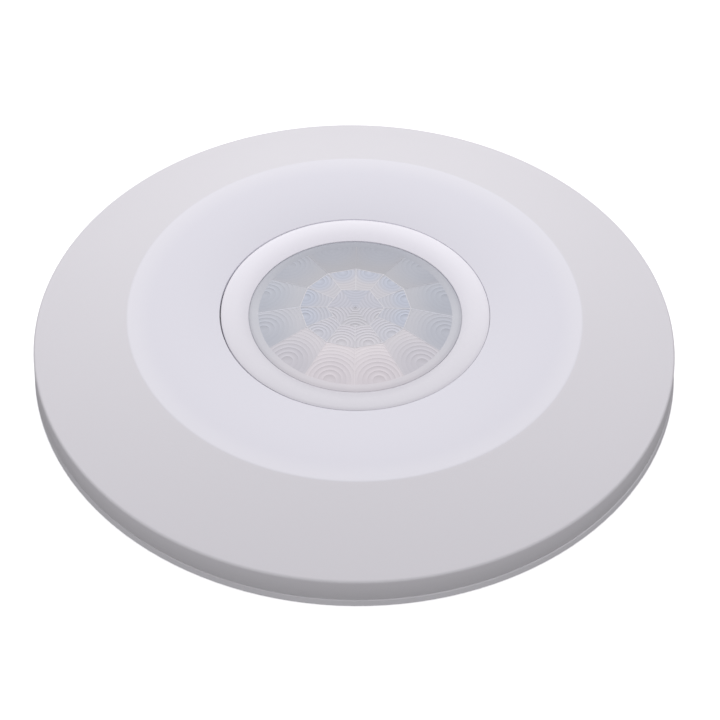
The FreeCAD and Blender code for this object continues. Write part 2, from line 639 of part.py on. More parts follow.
def make_terminal_block():
    """Moulded block with one cavity per way, open to the front, and a screwdriver hole above each."""
    body = new_body("terminal_block")
    outline = new_sketch(body, "outline", height=BOARD_TOP)
    half = f"({WAYS / 2} * way_pitch + block_wall)"
    add_rectangle(outline, f"-{half}", "-block_front", half, "-block_front + block_depth")
    feature(body, "Pad", "block", outline, Length="block_height")

    cavity = new_sketch(body, "cavity_outline", "XZ_Plane", height="block_front")
    low = f"({BOARD_TOP} + cage_rise - cage_play)"
    add_rectangle(cavity, f"{way_x(0)} - cage_width / 2 - cage_play", low,
                  f"{way_x(0)} + cage_width / 2 + cage_play", f"{low} + cage_height + 2 * cage_play")
    pocket = feature(body, "Pocket", "cavity", cavity, Length="cage_depth + 1")
    linear_x(body, "cavities", pocket, cavity, "way_pitch", WAYS)

    access = new_sketch(body, "access_outline", height=f"{BOARD_TOP} + block_height")
    add_circle(access, way_x(0), "-block_front + cage_depth / 2 + 0.5", "clamp_head + 0.2")
    hole = feature(body, "Pocket", "access", access, Length="block_height - cage_rise - cage_height")
    linear_x(body, "accesses", hole, access, "way_pitch", WAYS)


def make_cages_and_clamp_screws():
    """Brass cage in each cavity, bored for the wire, with its clamping screw coming down from above."""
    cages = []
    screws = []
    cage_low = f"({BOARD_TOP} + cage_rise)"
    middle_y = "(-block_front + cage_depth / 2 + 0.5)"
    for way in range(WAYS):
        x = way_x(way)
        blank = box(f"cage_blank_{way}", (f"{x} - cage_width / 2", "-block_front + 0.5", cage_low),
                    ("cage_width", "cage_depth", "cage_height"))
        wire = cylinder(f"cage_wire_{way}", (x, "-block_front - 1", f"{cage_low} + wire_radius + 0.4"),
                        "wire_radius", "cage_depth + 3", "y")
        thread = cylinder(f"cage_thread_{way}", (x, middle_y, f"{cage_low} + wire_radius + 0.4"),
                          "clamp_radius + thread_play", "cage_height")
        cages.append(cut(f"cage_{way}", blank, wire, thread))
        tip = f"({cage_low} + 2 * wire_radius + 0.6)"
        shank = cylinder(f"clamp_shank_{way}", (x, middle_y, tip), "clamp_radius", f"clamp_top - 0.5 - {tip}")
        head = cylinder(f"clamp_head_{way}", (x, middle_y, f"clamp_top - 1.6"), "clamp_head", "1.6")
        slot = box(f"clamp_slot_{way}", (f"{x} - 2", f"{middle_y} - drive_width / 2", "clamp_top - 0.8"),
                   ("4", "drive_width", "1"))
        screws.append(cut(f"clamp_screw_{way}", fuse(f"clamp_solid_{way}", shank, head), slot))
    node("terminal_cages", group("terminal_cages", cages))
    node("terminal_screws", group("terminal_screws", screws))


def make_housing_screws():
    """Pan-head screws through the housing's ears into the plate's bosses."""
    screws = []
    seat = "(boss_top + ear_height)"
    for angle in SCREW_ANGLES:
        x, y = f"boss_offset * cos({angle} deg)", f"boss_offset * sin({angle} deg)"
        head = cylinder(f"screw_head_{angle}", (x, y, seat), "screw_head", "head_height")
        shank = cylinder(f"screw_shank_{angle}", (x, y, f"{seat} - screw_length"), "screw_radius",
                         "screw_length + head_height / 2")
        drive = [box(f"screw_drive_{angle}_{turn}", (f"{x} - {dx}", f"{y} - {dy}", f"{seat} + head_height - 1"),
                     (f"2 * {dx}", f"2 * {dy}", "2"))
                 for turn, (dx, dy) in enumerate((("1.6", "0.4"), ("0.4", "1.6")))]
        screws.append(cut(f"housing_screw_{angle}", fuse(f"screw_solid_{angle}", head, shank), *drive))
    node("housing_screws", group("housing_screws", screws))


# ---------------------------------------------------------------- board components

def board_box(label, x, y, length, width, height, radius=0.3):
    """Moulded component standing on the board, centred at x, y."""
    blank = box(label + "_blank", (str(x - length / 2), str(y - width / 2), BOARD_TOP),
                (str(length), str(width), str(height)))
    return node(label, rounded(label, blank, radius, upright=False))


def board_drum(label, x, y, radius, height):
    return node(label, cylinder(label, (str(x), str(y), BOARD_TOP), str(radius), str(height)))


def make_lamp(label, x, y, flange, radius, height):
    """Domed round lamp body on a flange."""
    rim = cylinder(label + "_flange", (x, y, BOARD_TOP), flange, "0.8")
    stem = cylinder(label + "_stem", (x, y, BOARD_TOP), radius, height)
    dome = doc.addObject("Part::Sphere", label + "_dome")
    bind(dome, "Radius", radius)
    place(dome, x, y, f"{BOARD_TOP} + {height}")
    node(label, fuse(label, rim, stem, dome))


def make_supply():
    """Mains side: capacitors, surge and fuse parts, rectifier, dropper."""
    board_box("suppression_capacitor", 36, 0, 8, 18, 9.4, 0.5)
    smooth = cylinder("smoothing_capacitor", ("12", "-20", f"{BOARD_TOP} + 4"), "4", "12", "x")
    node("smoothing_capacitor", smooth)
    board_drum("varistor", -17, -20, 4.5, 4)
    board_drum("fuse", -28.5, -19, 4.2, 7.6)
    board_box("bridge_rectifier", 0, -20.5, 8.4, 6.4, 3.1)
    dropper = cylinder("dropper_resistor", ("26", "-19", f"{BOARD_TOP} + 2.2"), "2.2", "10", "x")
    node("dropper_resistor", dropper)


def make_signal_side():
    """Controller, amplifier, regulator and a scatter of chip parts."""
    board_box("controller_chip", 0, 19, 10, 4, 1.5, 0.15)
    board_box("amplifier_chip", -15, 6, 4, 5, 1.5, 0.15)
    board_box("voltage_regulator", 15, 7, 6.5, 3.6, 1.6, 0.15)
    chips = []
    for index in range(12):
        angle = math.radians(18 + 24 * index)
        x, y = 13.5 * math.cos(angle), 13.5 * math.sin(angle)
        if abs(x) > 10 and y > 2:
            continue
        chips.append(box(f"chip_{index}", (str(round(x - 1, 2)), str(round(y - 0.6, 2)), BOARD_TOP),
                         ("2", "1.2", "0.6")))
    node("chip_components", group("chip_components", chips))
    make_lamp("light_sensor", "8", "-8", "2.4", "1.9", "2.2")
    make_lamp("indicator_led", "-8", "-8", "1.9", "1.5", "2.6")


# ---------------------------------------------------------------- build, check and write

def check_document():
    for item in doc.Objects:
        if "Invalid" in item.State or "Error" in item.State:
            raise RuntimeError(f"{item.Label}: {item.State}")
    for label, item in nodes.items():
        if item.Shape.isNull() or not item.Shape.isValid():
            raise RuntimeError(f"{label}: bad shape")


def write_nodes():
    os.makedirs("parts", exist_ok=True)
    for label, item in nodes.items():
        item.Shape.exportStep(f"parts/{label}.step")
        extent = item.Shape.BoundBox
        print(f"{label:22s} solids {len(item.Shape.Solids):2d} volume {item.Shape.Volume:10.2f} "
              f"z {extent.ZMin:6.2f} to {extent.ZMax:6.2f}")
    print(len(nodes), "nodes")


def main():
    fill_sheet()
    make_base_plate()
    make_cable_grommet()
    make_front_cover()
    make_sensor_housing()
    make_lens_bezel()
    make_fresnel_lens()
    make_main_board()
    make_detector()
    for name, angle in KNOB_ANGLES.items():
        make_trimmer(name, angle)
    make_relay()
    make_terminal_block()
    make_cages_and_clamp_screws()
    make_housing_screws()
    make_supply()
    make_signal_side()
    doc.recompute()
    check_document()
    write_nodes()


main()
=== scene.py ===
"""Flat round ceiling motion sensor: finishes, faceted lens, floor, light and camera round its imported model."""
import json
import math

import bmesh
import bpy
from mathutils import Matrix, Vector


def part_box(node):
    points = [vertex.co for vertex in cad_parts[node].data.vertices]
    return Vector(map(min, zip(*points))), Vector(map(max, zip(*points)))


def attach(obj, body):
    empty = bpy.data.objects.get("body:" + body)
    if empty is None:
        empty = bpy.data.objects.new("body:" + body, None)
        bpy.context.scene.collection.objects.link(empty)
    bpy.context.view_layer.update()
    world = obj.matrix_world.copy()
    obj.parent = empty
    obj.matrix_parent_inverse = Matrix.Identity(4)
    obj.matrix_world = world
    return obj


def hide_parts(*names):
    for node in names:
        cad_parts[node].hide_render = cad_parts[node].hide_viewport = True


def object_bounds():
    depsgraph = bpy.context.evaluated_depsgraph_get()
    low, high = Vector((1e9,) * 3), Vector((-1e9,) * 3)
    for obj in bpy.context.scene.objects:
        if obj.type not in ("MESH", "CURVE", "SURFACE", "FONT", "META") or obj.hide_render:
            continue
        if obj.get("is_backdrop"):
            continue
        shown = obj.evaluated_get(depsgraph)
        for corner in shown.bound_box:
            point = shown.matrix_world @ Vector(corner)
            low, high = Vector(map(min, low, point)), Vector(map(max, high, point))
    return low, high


bl_info = {
    "name": "Ceiling motion sensor",
    "version": (1, 0, 0),
    "blender": (4, 5, 0),
    "location": "View3D > Sidebar > Motion sensor",
    "description": "Finishes a packed ceiling motion sensor and sets its studio",
    "category": "Object",
}

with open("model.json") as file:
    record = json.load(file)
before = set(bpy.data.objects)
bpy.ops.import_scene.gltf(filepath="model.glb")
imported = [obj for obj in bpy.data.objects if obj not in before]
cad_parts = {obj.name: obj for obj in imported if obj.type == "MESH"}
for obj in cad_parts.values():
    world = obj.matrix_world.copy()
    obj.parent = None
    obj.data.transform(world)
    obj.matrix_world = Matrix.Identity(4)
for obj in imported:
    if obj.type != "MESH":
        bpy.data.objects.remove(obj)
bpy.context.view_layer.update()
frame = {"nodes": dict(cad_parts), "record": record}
RECORD = frame["record"]
COLOURS = {entry["slot"]: tuple(entry["base_color"][:3]) for entry in RECORD["materials"]}
SLOTS = {entry["node"]: entry["material_slot"] for entry in RECORD["subparts"]}
BODIES = {node: body for body, nodes in RECORD["behaviour"]["bodies"].items() for node in nodes}
MM = 0.001
EDGE_SOFTENING = 0.00012  # rounding of the edges on both sides of the seam round the ring
SPARE_HEIGHT = 0.00004  # kept free above the lens, so that its centre mark stays under the highest point
CROWN_FALL = 0.00012  # how far the crown's corners lie below its middle
FACET_WALL = 0.0006  # depth of a facet's closed underside
FACETS = 12


# ---------------------------------------------------------------- settings
def length(name, description, default):
    """A size in metres."""
    return bpy.props.FloatProperty(name=name, description=description, default=default * MM,
                                   min=0.0, precision=5, unit="LENGTH", subtype="DISTANCE")


def angle(name, description, default):
    """An angle, given in degrees and kept in radians."""
    return bpy.props.FloatProperty(name=name, description=description, default=math.radians(default),
                                   unit="ROTATION", subtype="ANGLE")


def colour(name, description, default):
    """A linear colour."""
    return bpy.props.FloatVectorProperty(name=name, description=description, default=default,
                                         size=3, min=0.0, max=1.0, subtype="COLOR")


def amount(name, description, default):
    """A plain number."""
    return bpy.props.FloatProperty(name=name, description=description, default=default)


class CoverSettings(bpy.types.PropertyGroup):
    """Sizes and colours of the pull-off cover and the ring round the lens."""
    rim_top: length("Rim top", "Height of the rim's upper edge", 8.3)
    rim_round: length("Rim rounding", "Set-back of the rim's rounding", 0.6)
    crest_radius: length("Crest radius", "Where the cone meets the flat top", 56.4)
    crest_round: length("Crest rounding", "Set-back of the crest's rounding", 0.3)
    sag: length("Sag", "How far the flat top falls from its opening to the crest", 0.25)
    opening: length("Opening", "Radius of the opening for the ring", 33.55)
    wall: length("Wall", "Thickness of the rim's wall", 2.2)
    skin: length("Skin", "Thickness of the cone and the flat top", 2.0)
    dish: length("Dish", "How far the ring falls towards the lens", 0.78)
    steps: bpy.props.IntProperty(name="Steps", description="Faces round a turned piece", default=256, min=24)
    top_colour: colour("Flat top", "Smooth flat top of the cover", (0.80, 0.79, 0.845))
    cone_colour: colour("Cone", "Finely textured cone and rim", (0.835, 0.818, 0.843))
    # Lip: a painted highlight on the band inside the crest.
    lip_highlight_colour: colour("Lip", "Highlighted lip inside the crest", (0.868, 0.857, 0.897))
    ring_colour: colour("Ring", "Ring round the lens", (0.767, 0.751, 0.793))


class LensSettings(bpy.types.PropertyGroup):
    """Sizes and colours of the faceted lens. Each tint has a value at the back, the sides and the front, and
    carries painted shade at the back and painted light at the front.
    """
    radius: length("Radius", "Visible radius of the lens", 26.5)
    slope_focus: length("Slope focus", "Radius on which the sloping facets' grooves are centred", 23.6)
    crown_focus: length("Crown focus", "Radius on which the crown's grooves are centred", 12.85)
    core_focus: length("Core focus", "Radius on which the core's grooves are centred", 7.7)
    facet_end: length("Facet end", "Outer end of the sloping facets", 24.9)
    crown_radius: length("Crown radius", "Corners of the nearly flat middle", 13.8)
    core_radius: length("Core radius", "Corners of the six-sided core", 7.1)
    edge: length("Edge height", "Height of the lens edge", 17.1)
    groove: length("Groove depth", "Depth of the grooves", 0.03)
    seam: length("Seam", "Width and depth of the fine groove round the lens", 0.2)
    # Painted highlight and painted shade: a groove's crest is painted lighter and its foot darker.
    groove_light_contrast: amount("Groove contrast", "How much lighter a groove's crest is than its foot", 0.22)
    # The tints below are painted light and shade: the back facets are painted darker and bluer, the front ones
    # lighter.
    slope_near_back: colour("Slope, outer, back", "Outer ends of the back facets", (0.365, 0.38, 0.43))
    slope_near_side: colour("Slope, outer, side", "Outer ends of the side facets", (0.50, 0.53, 0.59))
    slope_near_front: colour("Slope, outer, front", "Outer ends of the front facets", (0.775, 0.725, 0.75))
    slope_far_back: colour("Slope, inner, back", "Inner ends of the back facets", (0.385, 0.385, 0.41))
    slope_far_side: colour("Slope, inner, side", "Inner ends of the side facets", (0.57, 0.58, 0.62))
    slope_far_front: colour("Slope, inner, front", "Inner ends of the front facets", (0.88, 0.83, 0.845))
    crown_near_back: colour("Crown, outer, back", "Outer ends of the crown's back facets", (0.50, 0.53, 0.615))
    crown_near_side: colour("Crown, outer, side", "Outer ends of the crown's side facets", (0.48, 0.52, 0.612))
    crown_near_front: colour("Crown, outer, front", "Outer ends of the crown's front facets", (0.64, 0.62, 0.65))
    crown_far_back: colour("Crown, inner, back", "Inner ends of the crown's back facets", (0.60, 0.585, 0.61))
    crown_far_side: colour("Crown, inner, side", "Inner ends of the crown's side facets", (0.51, 0.525, 0.585))
    crown_far_front: colour("Crown, inner, front", "Inner ends of the crown's front facets", (0.62, 0.605, 0.645))
    core_back: colour("Core, back", "Back of the six-sided core", (0.52, 0.535, 0.605))
    core: colour("Core", "Six-sided core", (0.555, 0.55, 0.60))
    core_front: colour("Core, front", "Front of the six-sided core", (0.55, 0.545, 0.58))
    # Painted highlight: the ridges are painted lighter than the facets beside them.
    ridge: colour("Ridges", "Fine ridges between the facets", (0.69, 0.685, 0.71))


class StudioSettings(bpy.types.PropertyGroup):
    """Floor, lights and camera."""
    camera_distance: length("Camera distance", "From the aim point to the camera", 960.0)
    camera_lift: angle("Camera height", "Angle of the camera above the floor", 45.44)
    camera_roll: angle("Camera roll", "Turn of the camera about its view", 0.9)
    camera_lens: amount("Lens", "Focal length in millimetres on a 36 mm sensor", 192.15)
    shift_x: amount("Shift X", "Sideways shift of the frame", 0.0071)
    shift_y: amount("Shift Y", "Upward shift of the frame", -0.0274)
    sky: amount("Sky", "Strength of the even light from above", 0.73)
    back_power: amount("Back light", "Power of the soft light behind", 0.85)
    floor_colour: colour("Floor", "Plain pale floor", (0.9, 0.9, 0.9))


# ---------------------------------------------------------------- node materials
class Number:
    """A number that comes out of a node. Arithmetic on it adds Math nodes."""

    def __init__(self, finish, socket):
        self.finish = finish
        self.socket = socket

    def math(self, operation, *values):
        return self.finish.node("ShaderNodeMath", {"operation": operation}, dict(enumerate(values)))

    def __add__(self, other):
        return self.math("ADD", self, other)

    def __mul__(self, other):
        return self.math("MULTIPLY", self, other)

    def __sub__(self, other):
        return self.math("SUBTRACT", self, other)

    def __rsub__(self, other):
        return self.math("SUBTRACT", other, self)

    def __gt__(self, other):
        return self.math("GREATER_THAN", self, other)

    __radd__ = __add__
    __rmul__ = __mul__

    def sine(self):
        return self.math("SINE", self)

    def rise(self, low, high):
        """0 below low, 1 above high, and smooth between them."""
        return self.finish.node("ShaderNodeMapRange", {"interpolation_type": "SMOOTHSTEP"},
                                {0: self, 1: low, 2: high, 3: 0.0, 4: 1.0})


class Finish:
    """One material under construction: its shader and the point that its patterns read."""

    def __init__(self, name, centre=(0.0, 0.0, 0.0), **constants):
        self.material = bpy.data.materials.new(name)
        self.material.use_nodes = True
        self.tree = self.material.node_tree
        self.tree.nodes.clear()
        self.shader = self.node("ShaderNodeBsdfPrincipled", {}, constants)
        self.node("ShaderNodeOutputMaterial", {}, {"Surface": self.shader})
        place = self.node("ShaderNodeTexCoord", out="Object")
        self.point = self.node("ShaderNodeMapping", {}, {"Vector": place, "Location": [-c for c in centre]})

    def node(self, kind, settings=None, inputs=None, out=0):
        """Adds a node, gives it its settings, then the values or links of its sockets."""
        made = self.tree.nodes.new(kind)
        for key, value in (settings or {}).items():
            setattr(made, key, value)
        for key, value in (inputs or {}).items():
            self.feed(made.inputs[key], value)
        return Number(self, made.outputs[out]) if made.outputs else made

    def feed(self, socket, value):
        if isinstance(value, Number):
            self.tree.links.new(value.socket, socket)
        else:
            socket.default_value = value

    def stretched(self, scale):
        return self.node("ShaderNodeMapping", {}, {"Vector": self.point, "Scale": scale})

    def noise(self, scale, detail=2.0, stretch=None, roughness=0.5):
        place = self.stretched(stretch) if stretch else self.point
        return self.node("ShaderNodeTexNoise", {}, {
            "Vector": place, "Scale": scale, "Detail": detail, "Roughness": roughness})

    def cells(self, scale):
        return self.node("ShaderNodeTexVoronoi", {}, {"Vector": self.point, "Scale": scale}, "Distance")

    def axis(self, name):
        return self.node("ShaderNodeSeparateXYZ", {}, {0: self.point}, name)

    def distance(self):
        """Distance from the centre's upright line."""
        flat = self.stretched((1.0, 1.0, 0.0))
        return self.node("ShaderNodeVectorMath", {"operation": "LENGTH"}, {0: flat}, "Value")

    def mix(self, share, first, second, blend="MIX"):
        """Goes from the first colour to the second as the share goes from 0 to 1."""
        first, second = ((*c, 1.0) if isinstance(c, tuple) else c for c in (first, second))
        return self.node("ShaderNodeMix", {"data_type": "RGBA", "blend_type": blend},
                         {0: share, 6: first, 7: second}, 2)

    def paint(self, **sockets):
        for key, value in sockets.items():
            self.feed(self.shader.socket.node.inputs[key.replace("_", " ")], value)

    def emboss(self, height, depth):
        """Feeds a height pattern from 0 to 1 into the normal; depth is its real depth in metres."""
        normal = self.node("ShaderNodeBump", {}, {"Strength": 1.0, "Distance": depth, "Height": height})
        self.paint(Normal=normal)


def shade(base, factor):
    """The colour made lighter or darker."""
    return tuple(min(1.0, channel * factor) for channel in base)


def moulded(name, base, roughness=0.5, grain=0.00035, depth=0.000012, centre=(0, 0, 0), variation=0.04):
    """Moulded plastic: faint flow clouds, a fine grain, and a gloss that varies with them."""
    finish = Finish(name, centre)
    clouds = finish.noise(70.0, 3.0)
    fine = finish.noise(1.0 / grain, 2.0)
    mottled = finish.mix(clouds.rise(0.3, 0.7), shade(base, 1 - variation), shade(base, 1 + variation))
    finish.paint(Base_Color=finish.mix(fine * 0.25, mottled, shade(base, 0.9)),
                 Roughness=roughness - 0.06 + clouds * 0.08 + fine * 0.06)
    finish.emboss(fine, depth)
    return finish


def plated(name, base, roughness=0.3, stretch=(1.0, 1.0, 1.0), scale=2500.0, depth=0.000006):
    """Metal: drawn or plated, with fine streaks and slightly dull patches."""
    finish = Finish(name, Metallic=1.0)
    streaks = finish.noise(scale, 3.0, stretch)
    patches = finish.noise(350.0, 3.0)
    finish.paint(Base_Color=finish.mix(patches.rise(0.35, 0.75), base, shade(base, 0.8)),
                 Roughness=roughness - 0.08 + patches * 0.16 + streaks * 0.08)
    finish.emboss(streaks, depth)
    return finish


def resin(name, base, coat=0.6):
    """Dipped or cast resin: glossy, with soft waves and faint clouds inside."""
    finish = Finish(name, IOR=1.5)
    waves, clouds = finish.noise(420.0, 2.0), finish.noise(900.0, 4.0)
    finish.paint(Base_Color=finish.mix(clouds.rise(0.3, 0.75), shade(base, 0.82), shade(base, 1.15)),
                 Roughness=0.1 + clouds * 0.14, Coat_Weight=coat - waves * 0.2)
    finish.emboss(waves, 0.00012)
    return finish


def laminate(name, base):
    """Circuit board: green mask over copper tracks, which stand up a little and look lighter."""
    finish = Finish(name)
    steps = finish.noise(110.0, 0.0).rise(0.45, 0.47)
    along, across = ((finish.axis(axis) * 3200.0).sine().rise(0.2, 0.45) for axis in "XY")
    tracks = along * steps + across * (1 - steps)
    tracks = tracks * finish.noise(240.0, 1.0).rise(0.44, 0.46)
    weave = finish.noise(5200.0, 2.0)
    mask = finish.mix(finish.noise(90.0, 3.0), shade(base, 0.85), shade(base, 1.15))
    finish.paint(Base_Color=finish.mix(tracks * 0.6, mask, (0.12, 0.36, 0.16)),
                 Roughness=0.3 + weave * 0.12 - tracks * 0.06)
    finish.emboss(tracks + weave * 0.2, 0.00004)
    return finish


def winding(name, base):
    """Enamelled wire wound side by side, with painted shade in the creases between the turns."""
    finish = Finish(name, Metallic=1.0)
    turns = (finish.axis("Y") * (math.tau / 0.00022)).sine() * 0.5 + 0.5
    loose = finish.noise(800.0, 2.0)
    # Painted shade: each turn is painted dark towards the creases between turns.
    finish.paint(Base_Color=finish.mix(turns, shade(base, 0.45), finish.mix(loose, base, shade(base, 1.3))),
                 Roughness=0.42 - turns * 0.14 + loose * 0.06)
    finish.emboss(turns + loose * 0.3, 0.00006)
    return finish


def banded(name, base, start, end):
    """Ceramic resistor body with generic colour bands across its length."""
    finish = moulded(name, base, 0.45, 0.0003, 0.00002)
    body = finish.shader.socket.node.inputs["Base Color"].links[0].from_socket
    tint, along = Number(finish, body), finish.axis("X")
    for share, band in ((0.25, (0.35, 0.12, 0.03)), (0.4, (0.02, 0.02, 0.02)), (0.55, (0.5, 0.3, 0.02))):
        middle = start + (end - start) * share
        inside = (along > middle - 0.0004) * (1 - (along > middle + 0.0004))
        tint = finish.mix(inside, tint, band)
    finish.paint(Base_Color=tint)
    return finish


def cover_plastic(settings, centre):
    """White plastic of the cover: smooth flat top, a painted highlight on the lip inside the crest, painted shade
    on the front of the cone, finely textured cone and rim.
    """
    finish = moulded("cover_plastic", tuple(settings.cone_colour), 0.55, 0.0005, 0.000016, centre, 0.012)
    reach = finish.distance()
    crest = settings.crest_radius
    fine, clouds = finish.noise(2600.0, 2.0), finish.noise(45.0, 3.0)
    textured = finish.mix(clouds, shade(settings.cone_colour, 0.992), shade(settings.cone_colour, 1.008))
    textured = finish.mix(fine * 0.12, textured, shade(settings.cone_colour, 0.9))
    smooth = finish.mix(clouds, shade(settings.top_colour, 0.994), shade(settings.top_colour, 1.006))
    outside = reach.rise(crest - 0.0001, crest + 0.0003)
    # Painted highlight: the band just inside the crest is painted lighter.
    lip = reach.rise(crest - 0.0065, crest) * (1 - outside)
    # Painted shade: the front of the cone is painted a little darker.
    painted_front_shade = finish.mix(finish.axis("Y").rise(-0.085, -0.03), shade(settings.cone_colour, 0.968), textured)
    body = finish.mix(outside, smooth, painted_front_shade)
    body = finish.mix(lip * 0.7, body, tuple(settings.lip_highlight_colour))
    specks = (0.022 - finish.cells(150.0)).rise(0.0, 0.01) * (finish.noise(31.0, 1.0) > 0.6)
    finish.paint(Base_Color=finish.mix(specks * 0.35, body, (0.35, 0.33, 0.32)),
                 Roughness=0.42 + outside * 0.13 + clouds * 0.05 + fine * 0.05)
    finish.emboss(fine * (0.25 + outside * 0.75), 0.000014)
    return finish


def lens_plastic(settings):
    """Milky lens plastic: a tint for each facet that carries painted light, painted shade and painted groove
    highlights, faint flow lines and a soft gloss.
    """
    finish = Finish("lens_plastic")
    tint = finish.node("ShaderNodeVertexColor", {"layer_name": "tint"})
    milk, fine = finish.noise(160.0, 3.0), finish.noise(3200.0, 2.0)
    body = finish.mix(milk.rise(0.3, 0.7) * 0.5, tint, finish.mix(1.0, tint, (1.06, 1.05, 1.04), "MULTIPLY"))
    finish.paint(Base_Color=finish.mix(fine * 0.08, body, (0.85, 0.85, 0.88)),
                 Roughness=0.24 + milk * 0.08 + fine * 0.05)
    finish.emboss(fine, 0.000004)
    return finish


# ---------------------------------------------------------------- modelling
def spin(bm, steps, points):
    """Turns an outline of radii and heights once round the Z axis, with its seam and poles closed."""
    corners = [bm.verts.new((radius, 0.0, height)) for radius, height in points]
    edges = [bm.edges.new(pair) for pair in zip(corners, corners[1:])]
    bmesh.ops.spin(bm, geom=corners + edges, cent=(0, 0, 0), axis=(0, 0, 1), angle=math.tau,
                   steps=steps, use_merge=True, use_duplicate=False)
    bmesh.ops.remove_doubles(bm, verts=bm.verts, dist=1e-7)
    bmesh.ops.recalc_face_normals(bm, faces=bm.faces)


def round_ring(bm, radius, height, offset, segments=4):
    """Rounds the ring edge at a radius and height."""
    ring = [edge for edge in bm.edges if all(
        abs(vert.co.xy.length - radius) < 1e-6 and abs(vert.co.z - height) < 1e-6 for vert in edge.verts)]
    if not ring:
        raise RuntimeError(f"there is no ring edge at radius {radius} and height {height}")
    bmesh.ops.bevel(bm, geom=ring, offset=offset, offset_type="OFFSET", affect="EDGES",
                    segments=segments, profile=0.5, material=-1)


def modelled(name, bm, finish, sharp=30.0):
    """An object made of a bmesh, with its finish, smooth faces and marked sharp edges."""
    mesh = bpy.data.meshes.new(name)
    bm.to_mesh(mesh)
    bm.free()
    mesh.shade_smooth()
    mesh.set_sharp_from_angle(angle=math.radians(sharp))
    mesh.materials.append(finish.material)
    piece = bpy.data.objects.new(name, mesh)
    bpy.context.scene.collection.objects.link(piece)
    return piece


def finished(name, bm, finish, node, sharp=30.0):
    """Makes a piece of a bmesh, gives it its finish, and lets it stand for a node."""
    piece = modelled(name, bm, finish, sharp)
    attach(piece, BODIES[node])
    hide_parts(node)
    return piece


def softened(node, finish, bevel=0.0, sharp=30.0, reshape=None):
    """A merged copy of a node with its flat faces joined, its edges rounded and its round faces smooth."""
    bm = bmesh.new()
    bm.from_mesh(frame["nodes"][node].data)
    bmesh.ops.remove_doubles(bm, verts=bm.verts, dist=1e-6)
    bmesh.ops.dissolve_limit(bm, angle_limit=math.radians(0.4), verts=bm.verts, edges=bm.edges,
                             use_dissolve_boundaries=False)
    if reshape:
        reshape(bm)
    piece = finished(f"{node}_shape", bm, finish, node, sharp)
    if bevel:
        rounding = piece.modifiers.new("rounding", "BEVEL")
        rounding.width, rounding.segments, rounding.limit_method = bevel, 2, "ANGLE"
        rounding.angle_limit, rounding.harden_normals = math.radians(40), True
        rounding.use_clamp_overlap = True
    return piece


class Piece(bpy.types.Operator):
    """Base of the operators that make the pieces and the studio."""
    bl_options = {"REGISTER", "UNDO"}

    def execute(self, context):
        self.make(context.scene)
        return {"FINISHED"}


class SENSOR_OT_cover(Piece):
    """Turn the cover with its rim, cone, crest and flat top"""
    bl_idname = "motion_sensor.cover"
    bl_label = "Cover"

    def make(self, scene):
        s = scene.sensor_cover
        low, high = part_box("front_cover")
        radius, centre, top = (high.x - low.x) / 2, (low + high) / 2, high.z
        crest = top - s.sag
        slope = (crest - s.rim_top) / (radius - s.crest_radius)
        inner, under = radius - s.wall, top - s.skin
        wall_top = s.rim_top + s.wall * slope - s.skin * math.hypot(1, slope)
        turn = inner - (under - wall_top) / slope
        bm = bmesh.new()
        spin(bm, s.steps, [
            (inner, low.z), (radius, low.z), (radius, s.rim_top), (s.crest_radius, crest),
            (s.opening, top), (s.opening, under),
            (turn, under), (inner, wall_top), (inner, low.z)])
        round_ring(bm, radius, s.rim_top, s.rim_round, 6)
        round_ring(bm, s.crest_radius, crest, s.crest_round, 6)
        round_ring(bm, s.opening, top, EDGE_SOFTENING, 2)
        round_ring(bm, radius, low.z, 0.00015, 2)
        bmesh.ops.translate(bm, verts=bm.verts, vec=(centre.x, centre.y, 0))
        finished("cover_shell", bm, cover_plastic(s, (centre.x, centre.y, 0.0)), "front_cover", 26.0)


class SENSOR_OT_ring(Piece):
    """Turn the ring round the lens, with its inner lip"""
    bl_idname = "motion_sensor.ring"
    bl_label = "Ring"

    def make(self, scene):
        low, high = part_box("lens_bezel")
        radius, opening, top = high.x + 0.00014, scene.sensor_lens.radius, high.z
        lip, shoulder = top - scene.sensor_cover.dish, high.x - 0.0022
        under = scene.sensor_lens.edge - scene.sensor_lens.seam
        bm = bmesh.new()
        spin(bm, scene.sensor_cover.steps, [
            (opening, lip), (shoulder, top), (radius, top), (radius, low.z), (radius - 0.0016, low.z),
            (radius - 0.0016, top - 0.0014), (opening, under), (opening, lip)])
        round_ring(bm, radius, top, EDGE_SOFTENING, 2)
        round_ring(bm, shoulder, top, 0.0012, 5)
        round_ring(bm, opening, lip, 0.0001, 2)
        base = tuple(scene.sensor_cover.ring_colour)
        finish = moulded("bezel_plastic", base, 0.3, 0.0004, 0.000003, variation=0.008)
        # Painted light and shade: the ring is painted lighter at the back and darker at the front, with a faint
        # random mottle.
        painted_back_light_and_mottle = finish.axis("Y").rise(-radius, radius) + finish.noise(90.0) * 0.1
        finish.paint(Base_Color=finish.mix(painted_back_light_and_mottle, shade(base, 0.905), shade(base, 1.19)))
        finished("lens_ring", bm, finish, "lens_bezel", 35.0)


def groove_disc(radii, depth, steps=72):
    """A disc of sawtooth rings: each falls outwards by the depth, then steps back up. Crests are marked 1."""
    bm = bmesh.new()
    points = [(0.0, 0.0)]
    for radius in radii:
        points += [(radius, -depth), (radius, 0.0)]
    spin(bm, steps, points[:-1])
    crest = bm.verts.layers.float.new("crest")
    for vert in bm.verts:
        vert[crest] = 1.0 if vert.co.z > -depth / 2 else 0.0
    return bm


def join(whole, part):
    """Adds a bmesh to another and frees it."""
    mesh = bpy.data.meshes.new("part")
    part.to_mesh(mesh)
    part.free()
    whole.from_mesh(mesh)
    bpy.data.meshes.remove(mesh)


def colour_verts(bm, verts, pick):
    """Gives each vertex the tint that pick returns for it."""
    layer = bm.verts.layers.float_color.get("tint") or bm.verts.layers.float_color.new("tint")
    for vert in verts:
        vert[layer] = (*pick(vert), 1.0)


